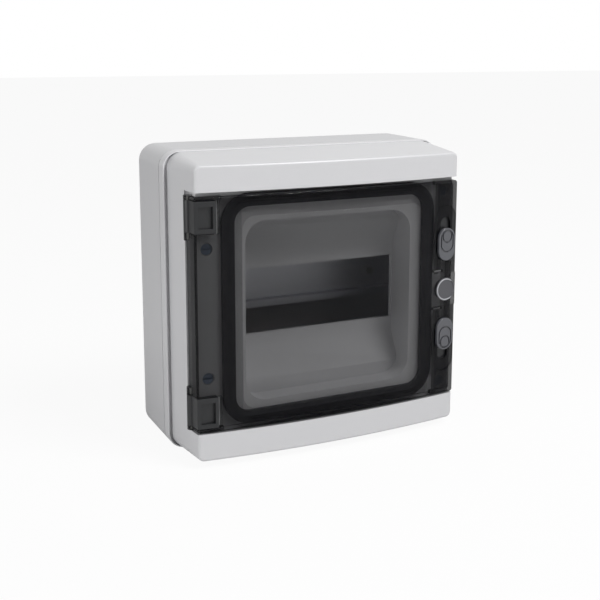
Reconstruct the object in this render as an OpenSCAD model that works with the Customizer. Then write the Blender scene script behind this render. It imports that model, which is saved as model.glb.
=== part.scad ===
// Wall-mounted weatherproof enclosure with a bowed, hinged, see-through door over a DIN rail.
// Origin: centre of the back face. X to the right, front towards -Y, Z up. Millimetres.
// "Depth" is the distance in front of the wall, so a depth of 20 lies at y = -20.

/* [Box] */
// Width over the flange
box_w = 214; // [212:1:245]
// Height over the flange
box_h = 210; // [208:0.5:235]
// Depth of the base, from the wall to the seam
base_d = 47; // [42:1:60]
// Radius of the four long corners
corner_r = 12; // [10:0.5:16]
// Wall thickness of the base
base_wall = 3; // [2.5:0.1:4]
// Wall thickness of the cover
cover_wall = 3; // [2.6:0.1:3.6]

/* [Cover] */
// Depth of the flange that meets the base
flange_t = 9.6; // [9:0.2:12]
// Ledge from the flange to the raised body, at the sides
ledge_side = 3.2; // [3:0.1:3.6]
// Ledge from the flange to the raised body, at the top and bottom
ledge_end = 0.8; // [0.5:0.1:0.8]
// How far the sides lean in from the ledge to the front
side_lean = 4.2; // [3:0.1:6]
// How far the top and bottom lean in from the ledge to the front
end_lean = 4.45; // [3.5:0.05:5.5]
// Rise from the flange to the side edges of the front
side_rise = 42; // [38:0.5:46]
// Extra depth of the bowed front at the middle
bow = 6.6; // [6.2:0.1:8]
// Corner radius of the raised body at its foot
foot_r = 10.5; // [9.5:0.5:11]
// Corner radius of the raised body at the front
body_r = 4; // [3:0.5:6]
// Lip left outside the groove at the foot of the raised body
foot_lip = 0.9; // [0.9:0.05:1.1]
// Depth of the groove at the foot of the raised body
foot_groove_d = 1.6; // [1:0.1:2.2]

/* [Door recess] */
// Top of the recess above the centre
recess_top = 82.2; // [80:0.1:84]
// Bottom of the recess below the centre
recess_bottom = 80.8; // [80:0.1:84]
// How far the recess floor lies behind the side edges of the front
recess_drop = 4.3; // [4.2:0.1:4.6]
// How far the door's side returns reach back from the front's side edges
return_d = 13; // [11:0.1:13.5]

/* [Well and device slot] */
// Width of the well
well_w = 127; // [125:0.5:130]
// Height of the well
well_h = 125; // [122:0.5:128]
// Centre of the well below the box centre
well_low = 2; // [0:0.5:3]
// Corner radius of the well
well_r = 15; // [8:0.5:18]
// Drop from the recess floor to the well floor
well_d = 15; // [13:0.2:17]
// Further drop from the well floor to the slot panel
slope_d = 10.5; // [9:0.1:12]
// Height of each sloped face
slope_h = 20; // [16:0.5:22]
// Flat strip above and below the slot
slot_margin = 10.3; // [8:0.1:12]
// Height of the device slot
slot_h = 47; // [45:0.5:48]
// Width of the device slot, seven modules
slot_w = 125; // [120:0.5:125.5]
// Centre of the slot below the box centre
slot_low = 1.4; // [0:0.1:2]
// Wall thickness of the well
well_wall = 2.5; // [2:0.1:3]

/* [Door] */
// Thickness of the door
door_t = 2.5; // [2.2:0.1:2.8]
// How far the door's returns stand proud of the cover's sides
door_proud = 0.5; // [0.2:0.1:0.8]
// Gap between the door's returns and the cover
door_gap = 0.4; // [0.35:0.05:0.8]
// Gap above the door
gap_top = 2.7; // [1.5:0.1:3]
// Gap below the door
gap_bottom = 0.9; // [0.6:0.1:2]
// Width of the raised window
window_w = 137; // [130:1:140]
// Height of the raised window
window_h = 132; // [126:1:136]
// Corner radius of the raised window
window_r = 9; // [5:0.5:14]
// Rise of the window over the door's face
window_rise = 1.2; // [0.6:0.1:1.6]

/* [Door seal] */
// Distance of the seal loop from the side edges of the front
seal_edge = 18.8; // [18:0.1:19.5]
// Height inside the seal loop
seal_in_h = 141; // [138:0.5:143]
// Corner radius inside the seal loop
seal_r = 11; // [6:0.5:16]
// Width of the seal strip
seal_w = 8.6; // [7:0.1:9]
// Thickness of the seal strip
seal_t = 3.4; // [2.6:0.1:3.4]
// Thickness of the door's rib that presses the seal
rib_t = 1.6; // [1.2:0.1:2.4]

/* [Hinges] */
// Hinge pin radius
pin_r = 1.25; // [1:0.05:1.5]
// Running clearance of the pin in the door
pin_clear = 0.05; // [0.02:0.01:0.09]
// Height of each hinge block
block_h = 21.4; // [18:0.2:24]
// Width of each hinge block from the cover's front edge
block_w = 14.1; // [12:0.1:16]
// Knuckle radius
knuckle_r = 3.2; // [2.8:0.1:3.3]
// Door ear at the outer end of each block
ear_outer = 2.6; // [2:0.1:3]
// Door ear at the inner end of each block
ear_inner = 5; // [4:0.2:8]

/* [Latches] */
// Centre line of the latches and the lock blank, from the side edge of the front
latch_edge = 9.1; // [8.6:0.1:9.6]
// Distance of each latch recess centre from the door centre
latch_z = 41.5; // [40:0.5:43]
// Length of the latch recess
latch_len = 41; // [38:0.5:43]
// Width of the latch recess
latch_w = 18; // [15:0.5:18]
// Length of the latch knob
knob_len = 24; // [20:0.5:26]
// Slide of each latch between open and locked
latch_travel = 12; // [9:0.5:13]
// Running gap around the latch slide
latch_gap = 0.3; // [0.3:0.05:0.4]
// Radius of the round lock blank
lock_r = 8; // [6:0.5:8.5]

/* [Inside] */
// Length of the DIN rail
rail_len = 180; // [150:1:190]
// Height of the stands under the rail
rail_pad = 13.5; // [10:0.5:18]
// Length of the terminal bars
bar_len = 90; // [70:1:110]
// Terminals on each bar
bar_ways = 7; // [5:1:8]
// Height of each terminal bar over and under the centre
bar_z = 72; // [66:1:78]

/* [Fixings] */
// Distance of the wall fixings from the sides of the box
fix_side = 17; // [16:0.5:22]
// Distance of the wall fixings from the top and bottom of the box
fix_end = 16; // [15:0.25:20]
// Radius of a wall fixing hole
fix_r = 2.5; // [2:0.1:3]
// Radius of a cable knock-out
knockout_r = 10.2; // [8:0.1:12.7]
// Spacing of the cable knock-outs
knockout_pitch = 45; // [32:1:50]
// Distance of the cover screws from the side edges of the front
screw_edge = 9.1; // [8.6:0.1:11]
// Height of the hinge-side cover screws over and under the centre
screw_z_left = 44; // [38:0.5:48]
// Height of the latch-side cover screws over and under the centre
screw_z_right = 71.5; // [71:0.5:73]
// Shank radius of the cover screws
screw_r = 2; // [1.5:0.1:2.2]

/* [Hidden] */
$fn = 64;

// Depths, all measured from the wall
flange_front = base_d + flange_t;
front_edge = flange_front + side_rise;
front_mid = front_edge + bow;
recess_floor = front_edge - recess_drop;
ledge_d = front_edge - return_d;
well_floor = recess_floor - well_d;
slot_plane = well_floor - slope_d;
past = 1;
// Half widths
flange_x = box_w / 2;
body_x = flange_x - ledge_side;
front_x = body_x - side_lean;
body_z = box_h / 2 - ledge_end;
lean = side_lean / side_rise;
function side_at(d) = body_x - lean * (d - flange_front);
function end_at(d) = body_z - end_lean / side_rise * (d - flange_front);
function corner_at(d) = foot_r - (foot_r - body_r) / side_rise * (d - flange_front);
// Radius of the bowed front, and its depth at a distance from the middle
bow_r = (front_x * front_x + bow * bow) / (2 * bow);
function face_at(x) = front_mid - bow_r + sqrt(bow_r * bow_r - x * x);
function turn_at(x) = asin(x / bow_r);
// Rim and gasket between base and cover
rim_in = 7.5;
groove_a = 3;
groove_b = 5.3;
groove_deep = 5.6;
tongue_gap = 0.3;
tongue_h = 4;
rim_land_d = 8;
fix_boss_wall = 3.5;
fix_boss_h = 4;
knockout_skin = 0.7;
knockout_score = 1;
// Door
door_top = recess_top - gap_top;
door_bottom = -recess_bottom + gap_bottom;
door_mid = (door_top + door_bottom) / 2;
door_half = (door_top - door_bottom) / 2;
door_in = door_t - door_proud;
core_in = door_in + door_gap;
floor_gap = 0.4;
seal_out = front_x - seal_edge;
seal_in_w = 2 * (seal_out - seal_w);
// Hinge axis, on the door's left return
axis_d = front_edge - return_d + 0.9;
axis_x = -(side_at(axis_d) - 0.9);
axis_groove_r = knuckle_r + 0.85;
block_out = door_half - ear_outer - 0.3;
block_in = block_out - block_h;
block_edge = -(front_x - block_w);
block_reach = norm([block_edge - axis_x, face_at(block_edge) - axis_d]);
notch_edge = axis_x + sqrt(pow(block_reach + 0.4, 2) - pow(face_at(block_edge) - door_t - axis_d, 2));
pocket_w = 9.7;
pocket_wall = 2.3;
pocket_deep = 2.8;
pocket_end = 3.5;
peg_r = 1.6;
peg_fit = 0.05;
// Latches, in a frame that is square to the door at latch_x
latch_x = front_x - latch_edge;
latch_turn = turn_at(latch_x);
latch_face = face_at(latch_x);
recess_cut = 1;
neck_w = 8.4;
neck_len = 14;
knob_w = latch_w - 3.4;
knob_t = 2.4;
hook_w = 11;
hook_in = 9;
hook_t = 1.1;
foot_w = 8;
foot_len = 10;
toe_len = 5;
toe_t = 2.2;
toe_clear = 0.6;
window_gap = 0.6;
knob_rest = latch_z - (latch_len - knob_len) / 2 + 0.5;
slot_in = knob_rest - neck_len / 2 - latch_gap;
slot_out = knob_rest + neck_len / 2 + latch_travel + latch_gap + 0.5;
hook_out = slot_out - knob_rest;
// Raised pad round the lock blank
pad_left = 14;
pad_right = 9;
pad_half = 12;
pad_rise = 0.6;
// DIN rail: 35 mm wide, 7.5 mm deep
rail_w = 35;
rail_d = 7.5;
rail_hat = 27;
rail_sheet = 1;
rail_back = base_wall + rail_pad;
rail_z = -slot_low;
rail_screw_in = 18;
rail_screw_x = rail_len / 2 - rail_screw_in;
rail_pad_w = 16;
// Cover screws
screw_x = front_x - screw_edge;
screw_places = [[-screw_x, screw_z_left], [-screw_x, -screw_z_left],
                [screw_x, screw_z_right], [screw_x, -screw_z_right]];
head_r = 3.7;
head_t = 2.8;
washer_t = 0.8;
head_well = 4.6;
insert_len = 9;
screw_len = recess_floor - head_well + washer_t - base_d + insert_len + 5;
thread_gap = 0.05;
boss_r = 6.2;
pillar_r = 5.6;
insert_r = 3.2;
insert_fit = 0.03;
// Terminal bars
holder_h = 6;
holder_t = 1.6;
bar_w = 6.5;
bar_d = 9;
bar_end = 10;
way_pitch = (bar_len - 2 * bar_end) / (bar_ways - 1);
wire_r = 2.3;
bar_screw_r = 1.7;
bar_head_r = 2.6;
bar_head_t = 2;
holder_screw_x = bar_len / 2 + 7;
holder_foot = 2;
holder_arm_w = 8;
holder_foot_h = 10;
small_screw_r = 1.4;
small_head_r = 2.8;
small_head_t = 2;
screw_tip = 1.2;
black = "#1d1e20";
grey = "#c4c4c8";
smoke = [0.18, 0.18, 0.2, 0.55];
zinc = "#b9b4a2";
brass = "#c9a24d";

// A flat shape in the X-Z plane, made solid from depth a to depth b
module slab(a, b) {
    translate([0, -a, 0])
        rotate([90, 0, 0])
            linear_extrude(b - a)
                children();
}

// Everything between two depths and two heights
module block(xa, xb, da, db, za, zb) {
    translate([xa, -db, za])
        cube([xb - xa, db - da, zb - za]);
}

module round_rect(w, h, r) {
    square([w - 2 * r, h], center = true);
    square([w, h - 2 * r], center = true);
    for (x = [-1, 1], z = [-1, 1])
        translate([x * (w / 2 - r), z * (h / 2 - r)])
            circle(r);
}

module stadium(w, l) {
    square([w, l - w], center = true);
    for (z = [-1, 1])
        translate([0, z * (l - w) / 2])
            circle(w / 2);
}

// The box outline, drawn in by some amount
module outline(inset) {
    round_rect(box_w - 2 * inset, box_h - 2 * inset, corner_r - min(inset, corner_r - 3));
}

// Ring between two insets of the box outline
module outline_ring(inset_a, inset_b) {
    difference() {
        outline(inset_a);
        outline(inset_b);
    }
}

// Leaning body of the cover between two depths, drawn in at its sides and ends
module raised(side_in, end_in, da, db) {
    hull() {
        slab(da, da + 0.01)
            round_rect(2 * (side_at(da) - side_in), 2 * (end_at(da) - end_in), corner_at(da), $fn = 32);
        slab(db - 0.01, db)
            round_rect(2 * (side_at(db) - side_in), 2 * (end_at(db) - end_in), corner_at(db), $fn = 32);
    }
}

// Everything behind the bowed front, moved back by some amount
module behind_face(back) {
    translate([0, bow_r - front_mid, -box_h])
        cylinder(r = bow_r - back, h = 2 * box_h, $fn = 360);
}

// Frame square to the door's face at the latch line, with -Y outwards
module at_latch(z) {
    translate([latch_x, -latch_face, door_mid + z])
        rotate([0, 0, latch_turn])
            children();
}

module at_points(points, d) {
    for (p = points)
        translate([p[0], -d, p[1]])
            rotate([90, 0, 0])
                children();
}

// ---- Base ----

module knockouts() {
    for (x = [-1, 0, 1])
        translate([x * knockout_pitch, -base_d / 2, box_h / 2 - base_wall - past])
            difference() {
                cylinder(r = knockout_r + knockout_score / 2, h = past + base_wall - knockout_skin);
                translate([0, 0, -past])
                    cylinder(r = knockout_r - knockout_score / 2, h = 2 * past + base_wall);
            }
}

module base() {
    fixings = [for (x = [-1, 1], z = [-1, 1]) [x * (box_w / 2 - fix_side), z * (box_h / 2 - fix_end)]];
    color(grey)
        difference() {
            union() {
                difference() {
                    slab(0, base_d) outline(0);
                    slab(base_wall, base_d - rim_land_d) outline(base_wall);
                    slab(base_wall, base_d + past) outline(groove_b - tongue_gap);
                }
                // tongue that presses the gasket
                slab(base_d - past, base_d + tongue_h)
                    outline_ring(groove_a + tongue_gap, groove_b - tongue_gap);
                // pillars for the cover screws
                at_points(screw_places, base_wall - past) cylinder(r = pillar_r, h = base_d - base_wall + past);
                // bosses round the wall fixing holes
                at_points(fixings, base_wall - past) cylinder(r = fix_r + fix_boss_wall, h = fix_boss_h + past);
                // stands under the rail
                for (x = [-1, 1])
                    block(x * rail_screw_x - rail_pad_w / 2, x * rail_screw_x + rail_pad_w / 2, base_wall - past,
                          rail_back,
                          rail_z - rail_hat / 2, rail_z + rail_hat / 2);
            }
            at_points(fixings, -past) cylinder(r = fix_r, h = base_wall + fix_boss_h + 3 * past);
            at_points(screw_places, base_d - insert_len)
                cylinder(r = insert_r + insert_fit, h = insert_len + past);
            at_points(screw_places, base_d - insert_len - 15) cylinder(r = screw_r + 0.3, h = 16);
            at_points([[-rail_screw_x, rail_z], [rail_screw_x, rail_z]], 1)
                cylinder(r = small_screw_r + thread_gap, h = rail_back + past);
            at_points([for (x = [-1, 1], z = [-1, 1]) [x * holder_screw_x, z * bar_z]], 1)
                cylinder(r = small_screw_r + thread_gap, h = base_wall + past);
            knockouts();
            mirror([0, 0, 1]) knockouts();
        }
}

module base_gasket() {
    color(black)
        slab(base_d + tongue_h, base_d + groove_deep)
            outline_ring(groove_a + tongue_gap, groove_b - tongue_gap);
}

// ---- Cover ----

module well_outline(grow) {
    translate([0, -well_low])
        round_rect(well_w + 2 * grow, well_h + 2 * grow, well_r + grow);
}

// Section of the well's bottom: flat bands, slopes and the slot panel, as one bent plate
module well_plate() {
    mid = -slot_low;
    flat = slot_h / 2 + slot_margin;
    low = -well_low - well_h / 2 - well_wall;
    high = -well_low + well_h / 2 + well_wall;
    front = [[well_floor, low], [well_floor, mid - flat - slope_h], [slot_plane, mid - flat],
             [slot_plane, mid + flat], [well_floor, mid + flat + slope_h], [well_floor, high]];
    back = [for (i = [len(front) - 1 : -1 : 0]) [front[i][0] - well_wall, front[i][1]]];
    rotate([90, 0, -90])
        translate([0, 0, -well_w / 2 - well_wall])
            linear_extrude(well_w + 2 * well_wall)
                polygon([for (p = concat(front, back)) [p[0], p[1]]]);
}

module recess_zone(grow) {
    block(-box_w, box_w, ledge_d - grow, front_mid + past, -recess_bottom - grow, recess_top + grow);
}

// Slot in the recess floor that a latch hook passes and locks behind
module hook_window(side) {
    za = side * (knob_rest - foot_len / 2 - window_gap);
    zb = side * (knob_rest + foot_len / 2 + latch_travel + window_gap);
    block(latch_x - foot_w / 2 - window_gap, latch_x + foot_w / 2 + window_gap + 1,
          recess_floor - cover_wall - past, recess_floor + past, door_mid + min(za, zb), door_mid + max(za, zb));
}

module cover() {
    color(grey)
        difference() {
            union() {
                difference() {
                    union() {
                        slab(base_d, flange_front - foot_groove_d) outline(0);
                        // lip outside the groove at the foot of the raised body
                        slab(base_d + groove_deep, flange_front) outline_ring(0, foot_lip);
                        intersection() {
                            raised(0, 0, flange_front - foot_groove_d - past, front_mid + past);
                            behind_face(0);
                        }
                    }
                    slab(base_d - past, flange_front - 1) outline(rim_in);
                    slab(base_d - past, base_d + groove_deep) outline_ring(groove_a, groove_b);
                    // hollow behind the leaning sides, up to the recess ledge
                    raised(rim_in - ledge_side + 1, rim_in - ledge_end + 1, flange_front - 2 * past, flange_front + 2);
                    raised(cover_wall, cover_wall, flange_front + past, ledge_d - cover_wall);
                    // hollow behind the recess floor
                    intersection() {
                        raised(core_in + cover_wall, cover_wall, ledge_d - 2 * cover_wall, recess_floor - cover_wall);
                        block(-box_w, box_w, 0, box_w, -recess_bottom + past, recess_top - past);
                    }
                    // hollows inside the two brows
                    intersection() {
                        raised(cover_wall, cover_wall, ledge_d - 2 * cover_wall, front_mid + past);
                        behind_face(cover_wall);
                        union() {
                            block(-box_w, box_w, 0, box_w, recess_top + cover_wall, box_h);
                            block(-box_w, box_w, 0, box_w, -box_h, -recess_bottom - cover_wall);
                        }
                    }
                    // door recess: its floor, and the sides drawn in for the door's returns
                    difference() {
                        recess_zone(0);
                        intersection() {
                            raised(core_in, -past, ledge_d - past, front_mid + past);
                            block(-box_w, box_w, 0, recess_floor, -box_h, box_h);
                        }
                    }
                    slab(recess_floor - cover_wall - past, recess_floor + past) well_outline(0);
                }
                // walls of the well
                slab(well_floor - well_wall, recess_floor - past)
                    difference() {
                        well_outline(well_wall);
                        well_outline(0);
                    }
                for (x = [-1, 1])
                    translate([x * (well_w / 2 + well_wall / 2), 0, 0])
                        block(-well_wall / 2, well_wall / 2, slot_plane - well_wall, well_floor,
                              -well_h / 2 + well_r, well_h / 2 - well_r);
                intersection() {
                    well_plate();
                    slab(0, front_mid) well_outline(well_wall);
                }
                // tubes for the cover screws
                at_points(screw_places, base_d) cylinder(r = boss_r, h = recess_floor - cover_wall + past - base_d);
                // backing behind the hinge groove
                intersection() {
                    raised(core_in, 0, ledge_d - 2 * cover_wall, recess_floor);
                    block(-box_w, 0, ledge_d - cover_wall - past, recess_floor - past, -recess_bottom, recess_top);
                    translate([axis_x, -axis_d, -recess_bottom])
                        cylinder(r = axis_groove_r + 2.4, h = recess_bottom + recess_top);
                }
            }
            // device slot
            block(-slot_w / 2, slot_w / 2, slot_plane - well_wall - past, well_floor + past,
                  -slot_low - slot_h / 2, -slot_low + slot_h / 2);
            // screw holes with sunk heads
            at_points(screw_places, base_d - past) cylinder(r = screw_r + 0.3, h = front_mid);
            at_points(screw_places, recess_floor - head_well) cylinder(r = head_r + 0.5, h = front_mid);
            // groove for the hinge knuckles and the door's ears
            translate([axis_x, -axis_d, -recess_bottom])
                cylinder(r = axis_groove_r, h = recess_bottom + recess_top);
            // latch pockets and hook windows
            for (side = [-1, 1]) {
                za = side * (latch_z - latch_len / 2);
                zb = side * (knob_rest + latch_travel + hook_out + window_gap);
                block(latch_x - latch_w / 2 + 1, latch_x + latch_w / 2 - 3, recess_floor - 1.5, recess_floor + past,
                      door_mid + min(za, zb), door_mid + max(za, zb));
                hook_window(side);
            }
            // holes for the hinge block pegs
            for (side = [-1, 1])
                at_points(peg_places(side), recess_floor - cover_wall - past)
                    cylinder(r = peg_r + peg_fit, h = cover_wall + 2 * past);
        }
}

module door_seal() {
    mid = (recess_top - recess_bottom) / 2;
    color(black)
        slab(recess_floor, recess_floor + seal_t)
            translate([0, mid])
                difference() {
                    round_rect(seal_in_w + 2 * seal_w, seal_in_h + 2 * seal_w, seal_r + seal_w);
                    round_rect(seal_in_w, seal_in_h, seal_r);
                }
}

// ---- Hinges ----

function peg_places(side) = [for (k = [0.28, 0.72])
    [block_edge - 5, door_mid + side * (block_in + k * block_h)]];

module hinge_axis(za, zb, r) {
    translate([axis_x, -axis_d, min(za, zb)])
        cylinder(r = r, h = abs(zb - za));
}

module hinge_block(side) {
    za = door_mid + side * block_in;
    zb = door_mid + side * block_out;
    low = min(za, zb);
    high = max(za, zb);
    color(black)
        difference() {
            union() {
                difference() {
                    intersection() {
                        raised(-door_proud, -past, ledge_d - past, front_mid + past);
                        behind_face(0);
                        block(-box_w, block_edge, ledge_d + 0.1, box_w, low, high);
                    }
                    intersection() {
                        raised(core_in - peg_fit, -2 * past, ledge_d - 2 * past, front_mid + 2 * past);
                        block(-box_w, box_w, 0, recess_floor, -box_h, box_h);
                    }
                    // square pocket in the front
                    block(block_edge - pocket_w - pocket_wall, block_edge - pocket_wall,
                          face_at(block_edge) - pocket_deep, box_w, low + pocket_end, high - pocket_end);
                }
                hinge_axis(za, zb, knuckle_r);
                at_points(peg_places(side), recess_floor - cover_wall) cylinder(r = peg_r, h = cover_wall + 1.5);
            }
            hinge_axis(za - side * past, zb + side * past, pin_r + 0.03);
        }
}

module hinge_pin(side) {
    color("silver")
        hinge_axis(door_mid + side * (block_in - ear_inner + 0.2), door_mid + side * (door_half - 0.2), pin_r);
}

module hinge_block_upper() hinge_block(1);
module hinge_block_lower() hinge_block(-1);
module hinge_pin_upper() hinge_pin(1);
module hinge_pin_lower() hinge_pin(-1);

// ---- Door ----

module door_shell() {
    difference() {
        intersection() {
            raised(-door_proud, -past, ledge_d - past, front_mid + past);
            behind_face(0);
            block(-box_w, box_w, ledge_d + floor_gap, box_w, door_bottom, door_top);
        }
        intersection() {
            raised(door_in, -2 * past, ledge_d - 2 * past, front_mid + 2 * past);
            union() {
                intersection() {
                    behind_face(door_t);
                    block(-box_w, box_w, 0, box_w, door_bottom + door_t, door_top - door_t);
                }
                block(-box_w, box_w, 0, recess_floor + floor_gap, -box_h, box_h);
                // room for the seal
                block(-seal_out - door_gap, seal_out + door_gap, 0, recess_floor + seal_t + door_gap, -box_h, box_h);
            }
        }
    }
    // raised window
    intersection() {
        slab(front_edge - 2 * past, front_mid + 2 * past)
            translate([0, door_mid]) round_rect(window_w, window_h, window_r);
        difference() {
            behind_face(-window_rise);
            behind_face(door_t - past);
        }
    }
    // rib that presses the seal
    intersection() {
        slab(recess_floor + seal_t + door_gap, front_mid)
            translate([0, (recess_top - recess_bottom) / 2])
                difference() {
                    round_rect(seal_in_w + seal_w + rib_t, seal_in_h + seal_w + rib_t, seal_r + seal_w / 2);
                    round_rect(seal_in_w + seal_w - rib_t, seal_in_h + seal_w - rib_t, seal_r + seal_w / 2 - rib_t);
                }
        behind_face(door_t - past);
    }
    // pad round the lock blank
    at_latch(0)
        block(-pad_left, pad_right, -1.4, pad_rise, -pad_half, pad_half);
}

module door() {
    color(smoke)
        difference() {
            union() {
                door_shell();
                for (side = [-1, 1]) {
                    hinge_axis(door_mid + side * (block_in - 0.3 - ear_inner), door_mid + side * (block_in - 0.3),
                               knuckle_r);
                    hinge_axis(door_mid + side * (block_out + 0.3), door_mid + side * door_half, knuckle_r);
                }
            }
            for (side = [-1, 1]) {
                za = door_mid + side * (block_in - 0.3);
                zb = door_mid + side * (block_out + 0.3);
                block(-box_w, notch_edge, 0, box_w, min(za, zb), max(za, zb));
                hinge_axis(door_mid + side * (block_in - 2 * ear_inner), door_mid + side * (door_half + past),
                           pin_r + pin_clear);
                // latch recess and its slot
                at_latch(side * latch_z)
                    translate([0, recess_cut, 0])
                        slab(0, 4) stadium(latch_w, latch_len);
                at_latch(side * (slot_in + slot_out) / 2)
                    translate([0, 4, 0])
                        slab(0, 8) stadium(neck_w + 2 * latch_gap, slot_out - slot_in);
                // short grip slots beside the lock blank
                at_latch(side * (pad_half + 2))
                    block(-10, -2, -4, 3, -0.8, 0.8);
            }
            at_latch(0)
                translate([0, 4, 0])
                    slab(0, 8) circle(lock_r + peg_fit);
        }
}

module lock_blank() {
    color(black)
        at_latch(0) {
            translate([0, door_t - 0.3, 0])
                slab(0, door_t + 0.3) circle(lock_r);
            translate([0, -pad_rise, 0])
                slab(0, 0.5) circle(lock_r + 1);
        }
}

// ---- Latches ----

module latch_knob(side) {
    color(black)
        at_latch(side * knob_rest) {
            translate([0, recess_cut - latch_gap, 0])
                slab(0, knob_t) stadium(knob_w, knob_len);
            translate([0, door_t + latch_gap, 0])
                slab(0, door_t) stadium(neck_w, neck_len);
        }
}

module latch_hook(side) {
    toe_d = recess_floor - cover_wall - toe_clear;
    zc = door_mid + side * knob_rest;
    za = zc - side * foot_len / 2;
    zb = zc + side * foot_len / 2;
    zt = zb + side * toe_len;
    color(black) {
        at_latch(side * (knob_rest + (hook_out - hook_in) / 2))
            translate([0, door_t + latch_gap + hook_t, 0])
                slab(0, hook_t) stadium(hook_w, hook_in + hook_out);
        intersection() {
            block(latch_x - foot_w / 2, latch_x + foot_w / 2, toe_d - toe_t, latch_face, min(za, zb), max(za, zb));
            at_latch(side * knob_rest)
                translate([-20, door_t + latch_gap, -20]) cube(40);
        }
        block(latch_x - foot_w / 2, latch_x + foot_w / 2, toe_d - toe_t, toe_d, min(za, zt), max(za, zt));
    }
}

module latch_knob_upper() latch_knob(1);
module latch_knob_lower() latch_knob(-1);
module latch_hook_upper() latch_hook(1);
module latch_hook_lower() latch_hook(-1);

// ---- Inside ----

module din_rail() {
    hat = [[-rail_w / 2, rail_d], [-rail_w / 2, rail_d - rail_sheet],
           [-rail_hat / 2, rail_d - rail_sheet], [-rail_hat / 2, 0], [rail_hat / 2, 0],
           [rail_hat / 2, rail_d - rail_sheet], [rail_w / 2, rail_d - rail_sheet], [rail_w / 2, rail_d],
           [rail_hat / 2 - rail_sheet, rail_d], [rail_hat / 2 - rail_sheet, rail_sheet],
           [-rail_hat / 2 + rail_sheet, rail_sheet], [-rail_hat / 2 + rail_sheet, rail_d]];
    color(zinc)
        difference() {
            translate([-rail_len / 2, -rail_back, rail_z])
                rotate([90, 0, 90])
                    linear_extrude(rail_len)
                        polygon([for (p = hat) [-p[1], p[0]]]);
            at_points([[-rail_screw_x, rail_z], [rail_screw_x, rail_z]], rail_back - past)
                cylinder(r = small_screw_r + 0.3, h = rail_sheet + 2 * past);
        }
}

// Pan-head screw pointing at the wall, its head resting at depth d
module small_screw(shank) {
    cylinder(r = small_head_r, h = small_head_t);
    translate([0, 0, -shank])
        cylinder(r = small_screw_r, h = shank + small_head_t / 2);
}

module rail_screws() {
    color("silver")
        at_points([[-rail_screw_x, rail_z], [rail_screw_x, rail_z]], rail_back + rail_sheet)
            small_screw(rail_back + rail_sheet - screw_tip);
}

module terminal_holder(side) {
    z = side * bar_z;
    color("#3c6ea5")
        difference() {
            union() {
                block(-holder_screw_x - holder_foot_h / 2, holder_screw_x + holder_foot_h / 2, base_wall,
                      base_wall + holder_foot, z - holder_foot_h / 2, z + holder_foot_h / 2);
                for (x = [-1, 1])
                    translate([x * (bar_len / 2 - 3), 0, 0])
                        block(-holder_arm_w / 2, holder_arm_w / 2, base_wall, base_wall + holder_h + 4,
                              z - bar_w / 2 - holder_t, z + bar_w / 2 + holder_t);
            }
            block(-bar_len / 2 - past, bar_len / 2 + past, base_wall + holder_h, box_w, z - bar_w / 2, z + bar_w / 2);
            at_points([[-holder_screw_x, z], [holder_screw_x, z]], base_wall - past)
                cylinder(r = small_screw_r + 0.3, h = holder_foot + 2 * past);
        }
}

module terminal_bar(side) {
    z = side * bar_z;
    front = base_wall + holder_h + bar_d;
    color(brass)
        difference() {
            block(-bar_len / 2, bar_len / 2, base_wall + holder_h, front, z - bar_w / 2, z + bar_w / 2);
            for (i = [0 : bar_ways - 1])
                translate([(i - (bar_ways - 1) / 2) * way_pitch, 0, z]) {
                    translate([0, -front + bar_d / 2 + 0.5, -bar_w])
                        cylinder(r = wire_r, h = 2 * bar_w);
                    translate([0, -front + bar_d / 2, 0])
                        rotate([90, 0, 0])
                            cylinder(r = bar_screw_r + thread_gap, h = bar_d);
                }
        }
}

module terminal_screws(side) {
    front = base_wall + holder_h + bar_d;
    color("silver")
        for (i = [0 : bar_ways - 1])
            translate([(i - (bar_ways - 1) / 2) * way_pitch, -front + bar_head_t, side * bar_z])
                rotate([90, 0, 0]) {
                    cylinder(r = bar_screw_r, h = 2 * bar_head_t);
                    translate([0, 0, bar_head_t])
                        cylinder(r = bar_head_r, h = bar_head_t);
                }
}

module terminal_holder_upper() terminal_holder(1);
module terminal_holder_lower() terminal_holder(-1);
module terminal_bar_upper() terminal_bar(1);
module terminal_bar_lower() terminal_bar(-1);
module terminal_screws_upper() terminal_screws(1);
module terminal_screws_lower() terminal_screws(-1);

module holder_screws() {
    color("silver")
        at_points([for (x = [-1, 1], z = [-1, 1]) [x * holder_screw_x, z * bar_z]], base_wall + holder_foot)
            small_screw(base_wall + holder_foot - screw_tip);
}

// ---- Cover fixing ----

module cover_screws() {
    seat = recess_floor - head_well + washer_t;
    color("#4d5866")
        at_points(screw_places, seat)
            difference() {
                union() {
                    cylinder(r = head_r, h = head_t);
                    translate([0, 0, -screw_len])
                        cylinder(r = screw_r, h = screw_len + head_t / 2);
                }
                translate([-head_r, -0.6, head_t - 1.2])
                    cube([2 * head_r, 1.2, 2]);
            }
}

module cover_screw_washers() {
    color(black)
        at_points(screw_places, recess_floor - head_well)
            difference() {
                cylinder(r = head_r, h = washer_t);
                translate([0, 0, -past])
                    cylinder(r = screw_r + thread_gap, h = washer_t + 2 * past);
            }
}

module cover_screw_inserts() {
    color(brass)
        at_points(screw_places, base_d - insert_len)
            difference() {
                cylinder(r = insert_r, h = insert_len - 0.2);
                translate([0, 0, -past])
                    cylinder(r = screw_r + thread_gap, h = insert_len + 2 * past);
            }
}

base();
base_gasket();
cover();
door_seal();
door();
hinge_block_upper();
hinge_block_lower();
hinge_pin_upper();
hinge_pin_lower();
latch_knob_upper();
latch_knob_lower();
latch_hook_upper();
latch_hook_lower();
lock_blank();
din_rail();
rail_screws();
terminal_holder_upper();
terminal_holder_lower();
terminal_bar_upper();
terminal_bar_lower();
terminal_screws_upper();
terminal_screws_lower();
holder_screws();
cover_screws();
cover_screw_washers();
cover_screw_inserts();
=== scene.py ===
import math

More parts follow.
